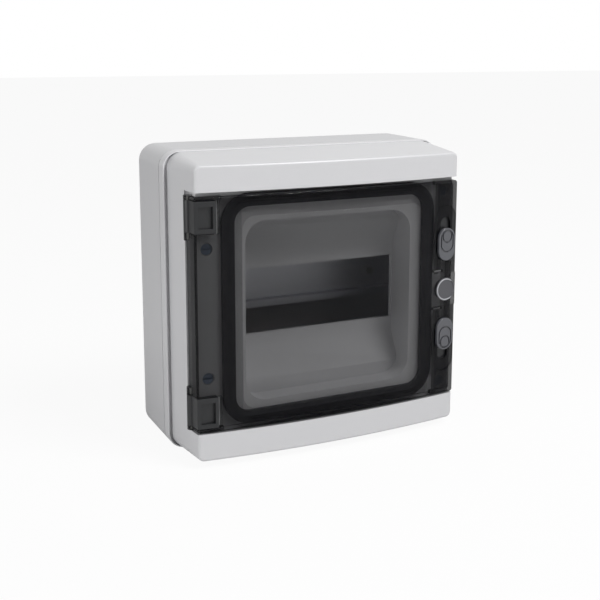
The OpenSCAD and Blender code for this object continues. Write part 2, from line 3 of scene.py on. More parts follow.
import bmesh
import bpy
from mathutils import Matrix, Vector


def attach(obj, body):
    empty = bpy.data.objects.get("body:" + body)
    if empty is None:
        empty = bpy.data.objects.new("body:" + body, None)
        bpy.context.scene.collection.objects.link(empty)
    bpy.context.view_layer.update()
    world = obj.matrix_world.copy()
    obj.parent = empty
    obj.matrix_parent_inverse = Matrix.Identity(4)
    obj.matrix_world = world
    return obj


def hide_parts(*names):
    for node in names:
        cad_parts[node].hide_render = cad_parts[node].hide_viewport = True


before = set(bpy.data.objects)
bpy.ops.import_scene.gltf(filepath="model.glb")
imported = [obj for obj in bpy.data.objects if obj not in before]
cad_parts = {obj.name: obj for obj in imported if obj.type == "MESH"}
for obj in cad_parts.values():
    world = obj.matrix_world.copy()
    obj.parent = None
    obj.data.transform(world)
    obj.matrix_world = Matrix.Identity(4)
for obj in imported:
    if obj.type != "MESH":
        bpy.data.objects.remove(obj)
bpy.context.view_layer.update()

# ---- Base ----
# The rear half of the box is a deep tray, injection moulded in light grey ABS with a satin
# face. It is screwed to the wall, and its rim has a tongue that presses the cover's gasket.

MM = 0.001
BOX_W = 214
BOX_H = 210
BASE_D = 47
CORNER_R = 12
BASE_WALL = 3
BACK_EDGE_W = 1.5
TONGUE_IN = 3.3
TONGUE_H = 4
RIM_IN = 5
RIM_DEEP = 8
PILLAR_R = 5.6
FIX_X = 90
FIX_Z = 89
FIX_R = 2.5
BOSS_R = 6
BOSS_H = 4
STAND_X = 72
STAND_HALF = 8
STAND_H = 13.5
STAND_Z = (-14.9, 12.1)
KNOCKOUT_R = 10.2
KNOCKOUT_GROOVE_R = 0.6
KNOCKOUT_PITCH = 45
SCREWS = [(-90.5, 44), (-90.5, -44), (90.5, 71.5), (90.5, -71.5)]


def linear(colour):
    """An sRGB hex colour as linear red, green, blue and alpha."""
    parts = [int(colour[i : i + 2], 16) / 255 for i in (1, 3, 5)]
    parts = [c / 12.92 if c <= 0.04045 else ((c + 0.055) / 1.055) ** 2.4 for c in parts]
    return (*parts, 1.0)


def add_node(material, kind, settings=None, inputs=None, links=None):
    """Adds one node to a material or world, sets its properties and inputs, and links into it."""
    node = material.node_tree.nodes.new(kind)
    for name, value in (settings or {}).items():
        setattr(node, name, value)
    for name, value in (inputs or {}).items():
        node.inputs[name].default_value = value
    for name, source in (links or {}).items():
        material.node_tree.links.new(source, node.inputs[name])
    return node


def new_material(name, colour, rough, grain_mm=None, grain_height=0.02, **inputs):
    """A moulded, plated or turned finish: one colour, and where asked a fine moulded grain."""
    material = bpy.data.materials.new(name)
    material.use_nodes = True
    shader = material.node_tree.nodes["Principled BSDF"]
    shader.inputs["Base Color"].default_value = linear(colour)
    shader.inputs["Roughness"].default_value = rough
    for socket, value in inputs.items():
        shader.inputs[socket.replace("_", " ")].default_value = value
    if grain_mm:
        place = add_node(material, "ShaderNodeTexCoord")
        grain = add_node(
            material, "ShaderNodeTexNoise", inputs={"Scale": 1 / (grain_mm * MM), "Detail": 2.0},
            links={"Vector": place.outputs["Object"]})
        bump = add_node(
            material, "ShaderNodeBump", inputs={"Strength": 0.25, "Distance": grain_height * MM},
            links={"Height": grain.outputs["Fac"]})
        material.node_tree.links.new(bump.outputs["Normal"], shader.inputs["Normal"])
    return material


def select_only(piece):
    """Makes a piece the active one and the only one selected."""
    bpy.ops.object.select_all(action="DESELECT")
    bpy.context.view_layer.objects.active = piece
    piece.select_set(True)


def fix_place():
    """Puts the selected piece's place, turn and scale into its mesh."""
    bpy.ops.object.transform_apply(location=True, rotation=True, scale=True)


def start_edit(piece, kind="FACE"):
    """Opens one piece in edit mode with nothing selected."""
    select_only(piece)
    bpy.ops.object.mode_set(mode="EDIT")
    bpy.ops.mesh.select_mode(type=kind)
    bpy.ops.mesh.select_all(action="DESELECT")


def end_edit():
    bpy.ops.object.mode_set(mode="OBJECT")


def pick(piece, kind, test):
    """Selects the verts, edges or faces of the piece in edit mode that pass a test of their place."""
    mesh = bmesh.from_edit_mesh(piece.data)
    for element in getattr(mesh, kind):
        if test(element):
            element.select_set(True)
    bmesh.update_edit_mesh(piece.data)


def merge(piece, reach=0.001):
    """Merges points that lie together and drops faces that have no area."""
    start_edit(piece, "VERT")
    bpy.ops.mesh.select_all(action="SELECT")
    bpy.ops.mesh.remove_doubles(threshold=reach * MM)
    bpy.ops.mesh.dissolve_degenerate(threshold=reach * MM)
    end_edit()


def add_block(name, x, depth, z):
    """A block between two values each of x, depth in front of the wall and z, in millimetres."""
    bpy.ops.object.select_all(action="DESELECT")
    centre = ((x[0] + x[1]) / 2 * MM, -(depth[0] + depth[1]) / 2 * MM, (z[0] + z[1]) / 2 * MM)
    bpy.ops.mesh.primitive_cube_add(size=1, location=centre)
    piece = bpy.context.object
    piece.name = name
    piece.scale = ((x[1] - x[0]) * MM, (depth[1] - depth[0]) * MM, (z[1] - z[0]) * MM)
    fix_place()
    return piece


def round_corners(piece, radius, segments=8):
    """Rounds the edges of a block that run from its back to its front."""
    def runs_forward(edge):
        way = edge.verts[1].co - edge.verts[0].co
        return abs(way.y) > 0.7 * way.length

    start_edit(piece, "EDGE")
    pick(piece, "edges", runs_forward)
    bpy.ops.mesh.bevel(offset=radius * MM, segments=segments, affect="EDGES")
    end_edit()
    merge(piece, 0.03)


def add_plate(name, width, height, radius, depth, middle=(0, 0)):
    """A block with rounded corners, round a middle in x and z."""
    x, z = middle
    piece = add_block(name, (x - width / 2, x + width / 2), depth, (z - height / 2, z + height / 2))
    round_corners(piece, radius)
    return piece


def add_rod(name, radius, depth, middle, sides=48):
    """A round rod that points out of the wall."""
    bpy.ops.object.select_all(action="DESELECT")
    bpy.ops.mesh.primitive_cylinder_add(
        vertices=sides, radius=radius * MM, depth=(depth[1] - depth[0]) * MM,
        location=(middle[0] * MM, -(depth[0] + depth[1]) / 2 * MM, middle[1] * MM),
        rotation=(math.pi / 2, 0, 0))
    piece = bpy.context.object
    piece.name = name
    fix_place()
    return piece


def add_post(name, radius, middle, z, sides=48):
    """A round post that stands up, round a middle in x and depth."""
    bpy.ops.object.select_all(action="DESELECT")
    bpy.ops.mesh.primitive_cylinder_add(
        vertices=sides, radius=radius * MM, depth=(z[1] - z[0]) * MM,
        location=(middle[0] * MM, -middle[1] * MM, (z[0] + z[1]) / 2 * MM))
    piece = bpy.context.object
    piece.name = name
    fix_place()
    return piece


def combine(piece, tool, operation):
    """Joins, cuts or crosses a piece with a second solid, which is used up."""
    select_only(piece)
    modifier = piece.modifiers.new(operation, "BOOLEAN")
    modifier.operation = operation
    modifier.object = tool
    modifier.solver = "EXACT"
    bpy.ops.object.modifier_apply(modifier=modifier.name)
    bpy.data.objects.remove(tool)
    merge(piece)


def soften(piece, width, angle=35, segments=2):
    """Breaks the sharp edges of a piece with a small round."""
    select_only(piece)
    modifier = piece.modifiers.new("soften", "BEVEL")
    modifier.width = width * MM
    modifier.segments = segments
    modifier.limit_method = "ANGLE"
    modifier.angle_limit = math.radians(angle)
    modifier.miter_outer = "MITER_ARC"
    bpy.ops.object.modifier_apply(modifier=modifier.name)
    merge(piece)


def finish_piece(piece, material, body, slot, *nodes):
    """Smooths a piece, gives it its finish and puts it in place of its CAD nodes."""
    merge(piece)
    bpy.ops.object.shade_smooth_by_angle(angle=math.radians(30))
    modifier = piece.modifiers.new("flat faces", "WEIGHTED_NORMAL")
    modifier.keep_sharp = True
    modifier.weight = 90
    bpy.ops.object.modifier_apply(modifier=modifier.name)
    piece.data.materials.clear()
    piece.data.materials.append(material)
    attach(piece, body)
    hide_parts(*nodes)


base = add_plate("base_shell", BOX_W, BOX_H, CORNER_R, (0, BASE_D))
start_edit(base, "EDGE")
pick(base, "edges", lambda e: all(abs(v.co.y) < 0.1 * MM for v in e.verts))
bpy.ops.mesh.bevel(offset=BACK_EDGE_W * MM, segments=3, affect="EDGES")
bpy.ops.mesh.select_all(action="DESELECT")
bpy.ops.mesh.select_mode(type="FACE")
pick(base, "faces", lambda f: f.normal.y < -0.9)
bpy.ops.mesh.inset(thickness=TONGUE_IN * MM)
bpy.ops.mesh.extrude_region_move(TRANSFORM_OT_translate={"value": (0, -TONGUE_H * MM, 0)})
bpy.ops.mesh.inset(thickness=(RIM_IN - TONGUE_IN) * MM)
rim_down = (TONGUE_H + RIM_DEEP) * MM
bpy.ops.mesh.extrude_region_move(TRANSFORM_OT_translate={"value": (0, rim_down, 0)})
bpy.ops.mesh.inset(thickness=0.3 * MM)
floor_down = (BASE_D - RIM_DEEP - BASE_WALL) * MM
bpy.ops.mesh.extrude_region_move(TRANSFORM_OT_translate={"value": (0, floor_down, 0)})
end_edit()
for x, z in SCREWS:
    combine(base, add_rod("pillar", PILLAR_R, (BASE_WALL - 1, BASE_D), (x, z)), "UNION")
for x in (-FIX_X, FIX_X):
    for z in (-FIX_Z, FIX_Z):
        combine(base, add_rod("boss", BOSS_R, (BASE_WALL - 1, BASE_WALL + BOSS_H), (x, z)), "UNION")
        combine(base, add_rod("wall hole", FIX_R, (-1, BASE_WALL + BOSS_H + 2), (x, z)), "DIFFERENCE")
for x in (-STAND_X, STAND_X):
    stand = add_block("rail stand", (x - STAND_HALF, x + STAND_HALF),
                      (BASE_WALL - 1, BASE_WALL + STAND_H), STAND_Z)
    combine(base, stand, "UNION")
for x in (-KNOCKOUT_PITCH, 0, KNOCKOUT_PITCH):
    for z in (-BOX_H / 2 + BASE_WALL, BOX_H / 2 - BASE_WALL):
        bpy.ops.mesh.primitive_torus_add(
            major_radius=KNOCKOUT_R * MM, minor_radius=KNOCKOUT_GROOVE_R * MM,
            major_segments=64, minor_segments=8, location=(x * MM, -BASE_D / 2 * MM, z * MM))
        ring = bpy.context.object
        fix_place()
        combine(base, ring, "DIFFERENCE")

base_abs = new_material("satin moulded ABS", "#c3c3c5", 0.42, grain_mm=0.6)
finish_piece(base, base_abs, "housing", "base_plastic", "base")

# ---- Cover ----
# The front half is moulded in the same ABS, with a glossier face. A flange meets the base, and a
# body with a bowed front rises from it. Its corners tighten towards the front.

FLANGE_FRONT = 56.6
SIDE_LEDGE = 3.2
END_LEDGE = 0.8
SIDE_LEAN = 4.2
END_LEAN = 4.45
SIDE_RISE = 42
BOW = 6.6
FOOT_R = 10.5
BODY_R = 4
FRONT_ROUND = 1.6
GROOVE_LIP = 0.9
GROOVE_D = 2.6
SEAM_W = 0.8
SEAM_D = 1.2
RIM_WALL = 7.5
COVER_WALL = 3
FAR = 130
FRONT_EDGE = FLANGE_FRONT + SIDE_RISE
FRONT_MID = FRONT_EDGE + BOW
RECESS_TOP = 82.2
RECESS_BOTTOM = -80.8
RECESS_FLOOR = FRONT_EDGE - 4.3
LEDGE_D = FRONT_EDGE - 13
STEP_X = 90
TUBE_R = 6.2
SCREW_HOLE_R = 2.3
HEAD_R = 4.2
HEAD_D = 4.6
WELL_W = 127
WELL_H = 125
WELL_Z = -2
WELL_R = 15
WELL_WALL = 2.5
WELL_FLOOR = 79.3
SLOT_PLANE = 68.8
SLOT_W = 125
SLOT_H = 47
SLOT_Z = -1.4
SLOPE_H = 20
FLAT_HALF = SLOT_H / 2 + 10.3
DOOR_IN = 2.0
CORE_IN = 2.4
AXIS_X = -99.91
AXIS_D = 86.5
AXIS_GROOVE_R = 4.05
HALF_FRONT = BOX_W / 2 - SIDE_LEDGE - SIDE_LEAN
BOW_R = (HALF_FRONT**2 + BOW**2) / (2 * BOW)
BOW_FROM = 90
DOOR_TOP = 79.5
DOOR_BOTTOM = -79.9
DOOR_MID = (DOOR_TOP + DOOR_BOTTOM) / 2
DOOR_HALF = (DOOR_TOP - DOOR_BOTTOM) / 2
LATCH_X = 90.5
LATCH_Z = 41.5


def side_at(depth):
    """Half width of the cover's leaning body at a depth."""
    return BOX_W / 2 - SIDE_LEDGE - SIDE_LEAN / SIDE_RISE * (depth - FLANGE_FRONT)


def end_at(depth):
    """Half height of the cover's leaning body at a depth."""
    return BOX_H / 2 - END_LEDGE - END_LEAN / SIDE_RISE * (depth - FLANGE_FRONT)


def face_at(x):
    """Depth of the bowed front at a distance from the middle."""
    return FRONT_MID - BOW_R + math.sqrt(BOW_R**2 - x**2)


def add_leaning(name, side_in, end_in, depth, radius=BODY_R, heights=None):
    """A block whose sides lean in as the cover's body does, drawn in at its sides and ends."""
    back, front = depth
    half = side_at(back) - side_in
    z = heights or (-end_at(back) + end_in, end_at(back) - end_in)
    piece = add_block(name, (-half, half), depth, z)
    start_edit(piece, "VERT")
    pick(piece, "verts", lambda v: v.co.y < -(front - 0.1) * MM)
    shrink_z = 1 if heights else (end_at(front) - end_in) / (end_at(back) - end_in)
    bpy.ops.transform.resize(
        value=((side_at(front) - side_in) / half, 1, shrink_z), center_override=(0, -front * MM, 0))
    end_edit()
    if radius:
        round_corners(piece, radius)
    return piece


def tighten_corners(piece, front, wide, narrow):
    """Draws the rounded corners at the front of a piece in to a smaller radius."""
    start_edit(piece)
    mesh = bmesh.from_edit_mesh(piece.data)
    tips = [vert for vert in mesh.verts if vert.co.y < -(front - 0.1) * MM]
    half = [max(vert.co[axis] for vert in tips) for axis in (0, 2)]
    for vert in tips:
        reach = [abs(vert.co[axis]) - half[i] + wide * MM for i, axis in enumerate((0, 2))]
        if min(reach) > -0.2 * MM:
            for i, axis in enumerate((0, 2)):
                at = half[i] - narrow * MM + max(reach[i], 0) * narrow / wide
                vert.co[axis] = math.copysign(at, vert.co[axis])
    bmesh.update_edit_mesh(piece.data)
    end_edit()


def round_front(piece, radius, segments=4):
    """Rounds the edges round the flat front of a piece."""
    front = min(v.co.y for v in piece.data.vertices)
    start_edit(piece, "EDGE")
    pick(piece, "edges", lambda e: all(v.co.y < front + 0.01 * MM for v in e.verts))
    bpy.ops.mesh.bevel(offset=radius * MM, segments=segments, affect="EDGES")
    end_edit()


def bow_out(piece):
    """Slices a flat-fronted piece into upright strips and pushes its front out to the bow."""
    start_edit(piece)
    for strip in range(-24, 25):
        bpy.ops.mesh.select_all(action="SELECT")
        bpy.ops.mesh.bisect(plane_co=(4 * strip * MM, 0, 0), plane_no=(1, 0, 0))
    mesh = bmesh.from_edit_mesh(piece.data)
    for vert in mesh.verts:
        if vert.co.y < -BOW_FROM * MM:
            vert.co.y -= (face_at(vert.co.x / MM) - FRONT_EDGE) * MM
    bmesh.update_edit_mesh(piece.data)
    end_edit()


cover = add_leaning("cover_shell", 0, 0, (FLANGE_FRONT - 0.5, FRONT_EDGE), radius=FOOT_R)
tighten_corners(cover, FRONT_EDGE, FOOT_R, BODY_R)
round_front(cover, FRONT_ROUND, 4)
bow_out(cover)
flange = add_plate("flange", BOX_W, BOX_H, CORNER_R, (BASE_D, FLANGE_FRONT))
start_edit(flange, "EDGE")
pick(flange, "edges", lambda e: all(v.co.y < -(FLANGE_FRONT - 0.1) * MM for v in e.verts))
bpy.ops.mesh.bevel(offset=0.6 * MM, segments=3, affect="EDGES")
end_edit()
foot_groove = add_plate("foot groove", BOX_W - 2 * GROOVE_LIP, BOX_H - 2 * GROOVE_LIP, CORNER_R - GROOVE_LIP,
                        (FLANGE_FRONT - GROOVE_D, FLANGE_FRONT + 1))
groove_core = add_plate("groove core", BOX_W - 2 * SIDE_LEDGE, BOX_H - 2 * END_LEDGE, FOOT_R,
                        (FLANGE_FRONT - 4, FLANGE_FRONT + 2))
combine(foot_groove, groove_core, "DIFFERENCE")
combine(flange, foot_groove, "DIFFERENCE")
seam = add_plate("seam", BOX_W + 2, BOX_H + 2, CORNER_R + 1, (BASE_D - 1, BASE_D + SEAM_W))
seam_core = add_plate("seam core", BOX_W - 2 * SEAM_D, BOX_H - 2 * SEAM_D, CORNER_R - SEAM_D,
                      (BASE_D - 2, BASE_D + 2))
combine(seam, seam_core, "DIFFERENCE")
combine(flange, seam, "DIFFERENCE")
combine(cover, flange, "UNION")
rim_hollow = add_plate("rim hollow", BOX_W - 2 * RIM_WALL, BOX_H - 2 * RIM_WALL, CORNER_R - RIM_WALL,
                       (BASE_D - 1, FLANGE_FRONT - 1))
combine(cover, rim_hollow, "DIFFERENCE")
side_hollow = add_leaning("side hollow", COVER_WALL + 2.3, COVER_WALL, (FLANGE_FRONT - 2, LEDGE_D - COVER_WALL),
                          radius=8)
combine(cover, side_hollow, "DIFFERENCE")
floor_hollow = add_leaning("floor hollow", 10, COVER_WALL, (LEDGE_D - 4, RECESS_FLOOR - COVER_WALL), radius=0,
                           heights=(RECESS_BOTTOM + 1, RECESS_TOP - 1))
combine(cover, floor_hollow, "DIFFERENCE")
for z in ((RECESS_TOP + COVER_WALL, end_at(FRONT_EDGE) - COVER_WALL),
          (-end_at(FRONT_EDGE) + COVER_WALL, RECESS_BOTTOM - COVER_WALL)):
    brow_hollow = add_leaning("brow hollow", COVER_WALL, 0, (LEDGE_D - 4, FRONT_EDGE - 4), radius=0, heights=z)
    combine(cover, brow_hollow, "DIFFERENCE")

# The door's recess: a flat floor, and a step down on both sides for the door's returns.
recess_z = (RECESS_BOTTOM, RECESS_TOP)
combine(cover, add_block("recess", (-FAR, FAR), (RECESS_FLOOR, 110), recess_z), "DIFFERENCE")
for side in (-1, 1):
    step = add_block("side step", sorted((side * STEP_X, side * FAR)), (LEDGE_D, 110), recess_z)
    core = add_leaning("core", CORE_IN, 0, (LEDGE_D - 1, 112), radius=0,
                       heights=(RECESS_BOTTOM - 1, RECESS_TOP + 1))
    combine(step, core, "DIFFERENCE")
    combine(cover, step, "DIFFERENCE")
hinge_groove = add_post("hinge groove", AXIS_GROOVE_R, (AXIS_X, AXIS_D), recess_z)
combine(cover, hinge_groove, "DIFFERENCE")

# The well for the devices: its walls, then its hollow with two sloped faces, then the slot.
well_walls = add_plate("well walls", WELL_W + 2 * WELL_WALL, WELL_H + 2 * WELL_WALL, WELL_R + WELL_WALL,
                       (SLOT_PLANE - WELL_WALL, RECESS_FLOOR - 1), (0, WELL_Z))
combine(cover, well_walls, "UNION")
well = add_plate("well", WELL_W, WELL_H, WELL_R, (WELL_FLOOR, RECESS_FLOOR + 1), (0, WELL_Z))
combine(cover, well, "DIFFERENCE")
slopes = add_block("slopes", (-WELL_W / 2, WELL_W / 2), (SLOT_PLANE, WELL_FLOOR + 1),
                   (SLOT_Z - FLAT_HALF, SLOT_Z + FLAT_HALF))
start_edit(slopes, "VERT")
pick(slopes, "verts", lambda v: v.co.y < -WELL_FLOOR * MM)
spread = 1 + SLOPE_H * (WELL_FLOOR + 1 - SLOT_PLANE) / (WELL_FLOOR - SLOT_PLANE) / FLAT_HALF
bpy.ops.transform.resize(value=(1, 1, spread), center_override=(0, 0, SLOT_Z * MM))
end_edit()
well_outline = add_plate("well outline", WELL_W, WELL_H, WELL_R, (SLOT_PLANE - 1, WELL_FLOOR + 3), (0, WELL_Z))
combine(slopes, well_outline, "INTERSECT")
combine(cover, slopes, "DIFFERENCE")
combine(cover, add_block("device slot", (-SLOT_W / 2, SLOT_W / 2), (SLOT_PLANE - 4, SLOT_PLANE + 2),
                         (SLOT_Z - SLOT_H / 2, SLOT_Z + SLOT_H / 2)), "DIFFERENCE")

# Screw tubes, and the windows that the latch hooks pass through.
for x, z in SCREWS:
    combine(cover, add_rod("screw tube", TUBE_R, (BASE_D, RECESS_FLOOR - 1), (x, z)), "UNION")
    combine(cover, add_rod("screw hole", SCREW_HOLE_R, (BASE_D - 1, RECESS_FLOOR + 1), (x, z)), "DIFFERENCE")
    head_well = add_rod("head well", HEAD_R, (RECESS_FLOOR - HEAD_D, RECESS_FLOOR + 1), (x, z))
    combine(cover, head_well, "DIFFERENCE")
for side in (-1, 1):
    pocket = add_block("hook pocket", (LATCH_X - 8, LATCH_X + 6), (RECESS_FLOOR - 1.5, RECESS_FLOOR + 1),
                       sorted((DOOR_MID + side * 21, DOOR_MID + side * 65.9)))
    combine(cover, pocket, "DIFFERENCE")
    window = add_block("hook window", (LATCH_X - 4.6, LATCH_X + 5.6), (RECESS_FLOOR - 5, RECESS_FLOOR + 1),
                       sorted((DOOR_MID + side * 27.9, DOOR_MID + side * 51.1)))
    combine(cover, window, "DIFFERENCE")

cover_abs = new_material("gloss moulded ABS", "#cacacc", 0.34, grain_mm=0.9, grain_height=0.01)
finish_piece(cover, cover_abs, "housing", "cover_plastic", "cover")

# ---- Door ----
# The door is one moulding of smoked polycarbonate, bowed like the cover. It has returns round its
# edges, a raised window, and a rib inside that presses the seal.

DOOR_T = 2.5
DOOR_PROUD = 0.5
WINDOW_W = 137
WINDOW_H = 132
WINDOW_R = 9
WINDOW_RISE = 1.2
SEAL_MID = 0.7
SEAL_HALF_W = 72.2
SEAL_HALF_H = 70.5
SEAL_W = 8.6
SEAL_FRONT = RECESS_FLOOR + 3.4
RIB_W = 1.6
RIB_R = 15
KNUCKLE_R = 3.2
EAR_LEN = 5
EAR_GAP = 0.3
BLOCK_IN = 55.4
BLOCK_OUT = 76.8
BLOCK_EDGE = -85.5
LOCK_HOLE_R = 8.05
LATCH_W = 18
LATCH_LEN = 41
LATCH_TURN = math.asin(LATCH_X / BOW_R)
LATCH_FACE = face_at(LATCH_X)


def set_on_door(piece, z):
    """Turns a piece made at the origin square to the door's face on the latch line, at a height."""
    select_only(piece)
    piece.rotation_euler = (0, 0, LATCH_TURN)
    piece.location = (LATCH_X * MM, -LATCH_FACE * MM, (DOOR_MID + z) * MM)
    fix_place()
    return piece


def add_stadium(name, width, length, depth):
    """A plate with fully rounded ends, made at the origin."""
    return add_plate(name, width, length, width / 2 - 0.005, depth)


door = add_leaning("door_shell", -DOOR_PROUD, 0, (LEDGE_D + 0.4, FRONT_EDGE), radius=2,
                   heights=(DOOR_BOTTOM, DOOR_TOP))
round_front(door, 1.1)
bow_out(door)
inside = add_leaning("door hollow", DOOR_IN, 0, (LEDGE_D - 1, FRONT_EDGE - DOOR_T), radius=1,
                     heights=(DOOR_BOTTOM + DOOR_T, DOOR_TOP - DOOR_T))
bow_out(inside)
combine(door, inside, "DIFFERENCE")
combine(door, add_leaning("floor room", DOOR_IN, 0, (LEDGE_D - 1, RECESS_FLOOR + 0.4), radius=0,
                          heights=(-90, 90)), "DIFFERENCE")
seal_room = add_block("seal room", (-81.2, 81.2), (LEDGE_D - 1, SEAL_FRONT + 0.4), (-90, 90))
combine(door, seal_room, "DIFFERENCE")
pane = add_plate("raised window", WINDOW_W, WINDOW_H, WINDOW_R, (FRONT_EDGE - 1, FRONT_EDGE + WINDOW_RISE),
                 (0, DOOR_MID))
round_front(pane, 0.8, 3)
bow_out(pane)
combine(door, pane, "UNION")
rib = add_plate("seal rib", 2 * SEAL_HALF_W + SEAL_W + RIB_W, 2 * SEAL_HALF_H + SEAL_W + RIB_W, RIB_R,
                (RECESS_FLOOR - 10, FRONT_EDGE - DOOR_T + 0.5), (0, SEAL_MID))
bow_out(rib)
rib_core = add_plate("rib core", 2 * SEAL_HALF_W + SEAL_W - RIB_W, 2 * SEAL_HALF_H + SEAL_W - RIB_W,
                     RIB_R - RIB_W, (RECESS_FLOOR - 20, FRONT_MID + 1), (0, SEAL_MID))
combine(rib, rib_core, "DIFFERENCE")
combine(rib, add_block("rib room", (-99, 99), (0, SEAL_FRONT + 0.4), (-99, 99)), "DIFFERENCE")
combine(door, rib, "UNION")
pad = set_on_door(add_block("lock pad", (-14, 9), (-1.4, 0.6), (-12, 12)), 0)
combine(door, pad, "UNION")
for side in (-1, 1):
    for near, far in ((BLOCK_IN - EAR_GAP - EAR_LEN, BLOCK_IN - EAR_GAP), (BLOCK_OUT + EAR_GAP, DOOR_HALF)):
        ear = sorted((DOOR_MID + side * near, DOOR_MID + side * far))
        combine(door, add_post("ear", KNUCKLE_R, (AXIS_X, AXIS_D), ear), "UNION")
    notch = sorted((DOOR_MID + side * (BLOCK_IN - EAR_GAP), DOOR_MID + side * (BLOCK_OUT + EAR_GAP)))
    combine(door, add_block("hinge notch", (-FAR, BLOCK_EDGE + 0.9), (60, 110), notch), "DIFFERENCE")
    relief = add_block("notch relief", (-FAR, BLOCK_EDGE + 2.5), (60, face_at(BLOCK_EDGE) - 1.2), notch)
    combine(door, relief, "DIFFERENCE")
    latch_recess = add_stadium("latch recess", LATCH_W, LATCH_LEN, (-1, 3))
    combine(door, set_on_door(latch_recess, side * LATCH_Z), "DIFFERENCE")
    slot = add_stadium("latch slot", 9, 27.1, (-4, 4))
    combine(door, set_on_door(slot, side * 39.75), "DIFFERENCE")
    grip = add_block("grip slot", (-10, -2), (-4, 3), (-0.8, 0.8))
    combine(door, set_on_door(grip, side * 14), "DIFFERENCE")
combine(door, set_on_door(add_rod("lock hole", LOCK_HOLE_R, (-4, 4), (0, 0)), 0), "DIFFERENCE")


def smoked(name, alpha):
    """Smoked clear polycarbonate: a dark gloss face that lets part of the light through."""
    return new_material(name, "#08080c", 0.06, Alpha=alpha, IOR=1.58, Specular_IOR_Level=0.14)


smoked_border = smoked("smoked polycarbonate, border", 0.46)
smoked_window = smoked("smoked polycarbonate, window", 0.31)
# Nearly opaque smoke for the door's side walls and latch recess: partly the real darkening of smoked plastic
# seen through its edge, partly painted shade of the shadowed gap and recess behind them.
smoked_painted_shade = smoked("smoked polycarbonate, seen through its edge", 0.82)
finish_piece(door, smoked_border, "door", "smoked_door", "door")
door.data.materials.append(smoked_window)
door.data.materials.append(smoked_painted_shade)
for face in door.data.polygons:
    x, z = face.center.x / MM, face.center.z / MM - DOOR_MID
    on_window = abs(x) < WINDOW_W / 2 and abs(z) < WINDOW_H / 2
    on_pad = LATCH_X - 14.5 < x < LATCH_X + 8 and abs(z) < 12
    in_recess = abs(x - LATCH_X) < LATCH_W / 2 + 0.1 and abs(abs(z) - LATCH_Z) < LATCH_LEN / 2 + 0.1
    if on_window or on_pad:
        face.material_index = 1
    # Side walls and the latch recess get the nearly opaque smoke, which paints shade into them.
    elif in_recess or max(abs(face.normal.x), abs(face.normal.z)) > 0.75:
        face.material_index = 2

# ---- Hinge blocks ----
# Two blocks of black polyamide sit in the recess corners, peg into the cover and hold the pins
# that the door's ears turn on. Each has a square pocket in its front.

black_polyamide = new_material("black moulded polyamide", "#1c1d1f", 0.32)
for name, side in (("upper", 1), ("lower", -1)):
    low, high = sorted((DOOR_MID + side * BLOCK_IN, DOOR_MID + side * BLOCK_OUT))
    block = add_leaning("hinge_block_body_" + name, -DOOR_PROUD, 0, (LEDGE_D + 0.1, FRONT_EDGE),
                        radius=0, heights=(low, high))
    bow_out(block)
    combine(block, add_block("block end", (BLOCK_EDGE, FAR), (60, 110), (-110, 110)), "DIFFERENCE")
    cover_core = add_leaning("cover core", CORE_IN - 0.05, 0, (60, RECESS_FLOOR), radius=0, heights=(-110, 110))
    combine(block, cover_core, "DIFFERENCE")
    soften(block, 0.5, angle=25)
    pocket = add_block("square pocket", (BLOCK_EDGE - 12, BLOCK_EDGE - 2.3),
                       (face_at(BLOCK_EDGE) - 2.8, 110), (low + 3.3, high - 3.7))
    combine(block, pocket, "DIFFERENCE")
    combine(block, add_post("knuckle", KNUCKLE_R, (AXIS_X, AXIS_D), (low, high)), "UNION")
    finish_piece(block, black_polyamide, "housing", "black_plastic", "hinge_block_" + name)

# ---- Latches ----
# Each latch is a sliding knob of grey polycarbonate with a grooved grip, and a hook behind the
# door that locks behind the cover when the knob slides outwards.

KNOB_W = 14.6
KNOB_LEN = 24
KNOB_T = 2.4
KNOB_SUNK = 0.7
KNOB_REST = 33.5
GRIP_LINE = 1
latch_gloss = new_material("gloss grey polycarbonate", "#515257", 0.14, IOR=1.58)
for name, side in (("upper", 1), ("lower", -1)):
    knob = add_stadium("latch_knob_body_" + name, KNOB_W, KNOB_LEN, (0, KNOB_T))
    soften(knob, 0.4, angle=40, segments=3)
    for width, length in ((11.8, 16.6), (8.8, 9.6)):
        rise = side * (KNOB_LEN - 2.4 - length) / 2
        groove = add_plate("grip groove", width, length, width / 2 - 0.1,
                           (KNOB_T - GRIP_LINE, KNOB_T + 1), (0, rise))
        grip_core = add_plate("grip core", width - 2 * GRIP_LINE, length - 2 * GRIP_LINE,
                              width / 2 - 0.1 - GRIP_LINE, (0, KNOB_T + 2), (0, rise))
        combine(groove, grip_core, "DIFFERENCE")
        combine(knob, groove, "DIFFERENCE")
    knob.location.y = KNOB_SUNK * MM
    select_only(knob)
    fix_place()
    neck = add_stadium("neck", 8.4, 14, (-DOOR_T - 0.3, 0))
    combine(knob, neck, "UNION")
    set_on_door(knob, side * KNOB_REST)
    finish_piece(knob, latch_gloss, "latch_" + name, "latch_plastic", "latch_knob_" + name)

# ---- Lock blank ----
# A round plug of grey polycarbonate closes the hole where a key lock can be fitted.

